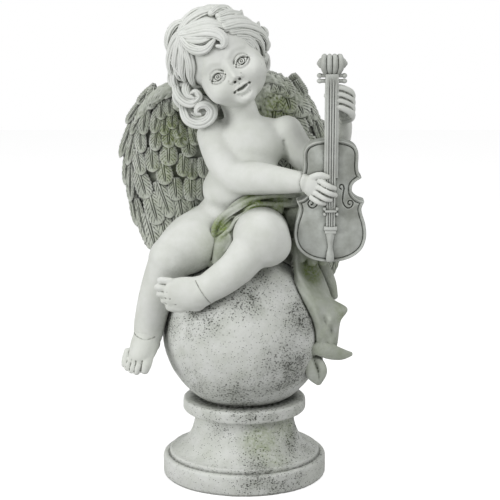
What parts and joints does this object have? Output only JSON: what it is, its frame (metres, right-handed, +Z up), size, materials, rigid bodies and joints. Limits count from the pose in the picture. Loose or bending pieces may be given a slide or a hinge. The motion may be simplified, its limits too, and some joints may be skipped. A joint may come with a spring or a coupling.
{
  "type": "cherub garden statue",
  "caption": "Cast stone garden statue: a winged cherub sits cross-legged on a ball finial and plays a small viol, on a turned round foot.",
  "frame": {"origin": "middle of the foot's underside, on the turning axis of the pedestal", "axes": "+Z up through the pedestal and ball, the figure faces -Y, +X towards the figure's left hand and the instrument"},
  "size_m": [0.2653, 0.1872, 0.5105],
  "materials": {
    "figure_stone": "smooth cast resin stone with a dark wash in its hollows and green moss",
    "pedestal_stone": "pitted cast resin stone with moss and dirt"
  },
  "bodies": {
    "root": {"ball_pedestal": "pedestal_stone", "cherub": "figure_stone"}
  },
  "joints": []
}
